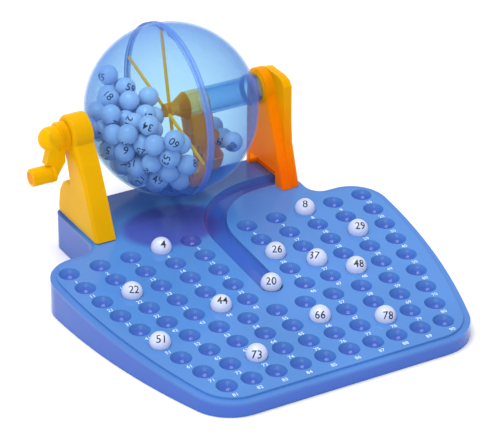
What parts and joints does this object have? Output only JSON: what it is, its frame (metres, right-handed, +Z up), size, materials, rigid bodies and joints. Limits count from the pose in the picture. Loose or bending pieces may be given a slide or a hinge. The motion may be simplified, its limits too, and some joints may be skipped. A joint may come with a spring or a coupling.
{
  "type": "bingo cage",
  "caption": "Tabletop bingo cage: clear crank-turned ball drum on two uprights over a cupped number tray with a ball channel.",
  "frame": {"origin": "on the table, under the middle of the whole object's bounding box", "axes": "+X right along the rows of cups, +Y to the back where the drum is, +Z up"},
  "size_m": [0.3272, 0.3852, 0.1961],
  "materials": {
    "tray_blue": "gloss",
    "support_amber": "translucent gloss",
    "duct_orange": "translucent gloss",
    "drum_clear": "clear tinted plastic",
    "tube_blue": "clear tinted plastic",
    "stirrer_orange": "translucent gloss",
    "socket_yellow": "translucent gloss",
    "crank_yellow": "gloss",
    "screw_steel": "satin",
    "ball_white": "satin"
  },
  "bodies": {
    "base": {"base_tray": "tray_blue", "left_support": "support_amber", "left_support_cover": "support_amber", "left_bush": "crank_yellow", "right_support": "duct_orange", "right_duct_cover": "duct_orange", "right_bush": "support_amber", "support_screws": "screw_steel", "ball_heap": "ball_white"},
    "drum": {"left_hemisphere": "drum_clear", "right_hemisphere": "drum_clear", "delivery_tube": "tube_blue", "tube_socket": "socket_yellow", "scoop_funnel": "stirrer_orange", "scoops": "stirrer_orange", "stirring_rod_1": "stirrer_orange", "stirring_rod_2": "stirrer_orange", "crank_axle": "crank_yellow", "crank_collar": "crank_yellow", "crank_arm": "crank_yellow", "grip_pin": "duct_orange"},
    "grip": {"crank_grip": "crank_yellow"},
    "ball_04": {"ball_04": "ball_white"},
    "ball_08": {"ball_08": "ball_white"},
    "ball_22": {"ball_22": "ball_white"},
    "ball_26": {"ball_26": "ball_white"},
    "ball_29": {"ball_29": "ball_white"},
    "ball_37": {"ball_37": "ball_white"},
    "ball_44": {"ball_44": "ball_white"},
    "ball_48": {"ball_48": "ball_white"},
    "ball_51": {"ball_51": "ball_white"},
    "ball_66": {"ball_66": "ball_white"},
    "ball_73": {"ball_73": "ball_white"},
    "ball_78": {"ball_78": "ball_white"},
    "ball_20": {"ball_20": "ball_white"}
  },
  "joints": [
    {"name": "crank_turn", "type": "hinge", "parent": "base", "child": "drum", "pos_m": [-0.0015, 0.1137, 0.1172], "axis": [1, 0, 0], "continuous": true},
    {"name": "grip_spin", "type": "hinge", "parent": "drum", "child": "grip", "pos_m": [-0.132, 0.1112, 0.0857], "axis": [1, 0, 0], "continuous": true},
    {"name": "lift_ball_04", "type": "slide", "parent": "base", "child": "ball_04", "axis": [0, 0, 1], "range_m": [0, 0.04]},
    {"name": "lift_ball_08", "type": "slide", "parent": "base", "child": "ball_08", "axis": [0, 0, 1], "range_m": [0, 0.04]},
    {"name": "lift_ball_22", "type": "slide", "parent": "base", "child": "ball_22", "axis": [0, 0, 1], "range_m": [0, 0.04]},
    {"name": "lift_ball_26", "type": "slide", "parent": "base", "child": "ball_26", "axis": [0, 0, 1], "range_m": [0, 0.04]},
    {"name": "lift_ball_29", "type": "slide", "parent": "base", "child": "ball_29", "axis": [0, 0, 1], "range_m": [0, 0.04]},
    {"name": "lift_ball_37", "type": "slide", "parent": "base", "child": "ball_37", "axis": [0, 0, 1], "range_m": [0, 0.04]},
    {"name": "lift_ball_44", "type": "slide", "parent": "base", "child": "ball_44", "axis": [0, 0, 1], "range_m": [0, 0.04]},
    {"name": "lift_ball_48", "type": "slide", "parent": "base", "child": "ball_48", "axis": [0, 0, 1], "range_m": [0, 0.04]},
    {"name": "lift_ball_51", "type": "slide", "parent": "base", "child": "ball_51", "axis": [0, 0, 1], "range_m": [0, 0.04]},
    {"name": "lift_ball_66", "type": "slide", "parent": "base", "child": "ball_66", "axis": [0, 0, 1], "range_m": [0, 0.04]},
    {"name": "lift_ball_73", "type": "slide", "parent": "base", "child": "ball_73", "axis": [0, 0, 1], "range_m": [0, 0.04]},
    {"name": "lift_ball_78", "type": "slide", "parent": "base", "child": "ball_78", "axis": [0, 0, 1], "range_m": [0, 0.04]},
    {"name": "lift_ball_20", "type": "slide", "parent": "base", "child": "ball_20", "axis": [0, 0, 1], "range_m": [0, 0.04]}
  ]
}
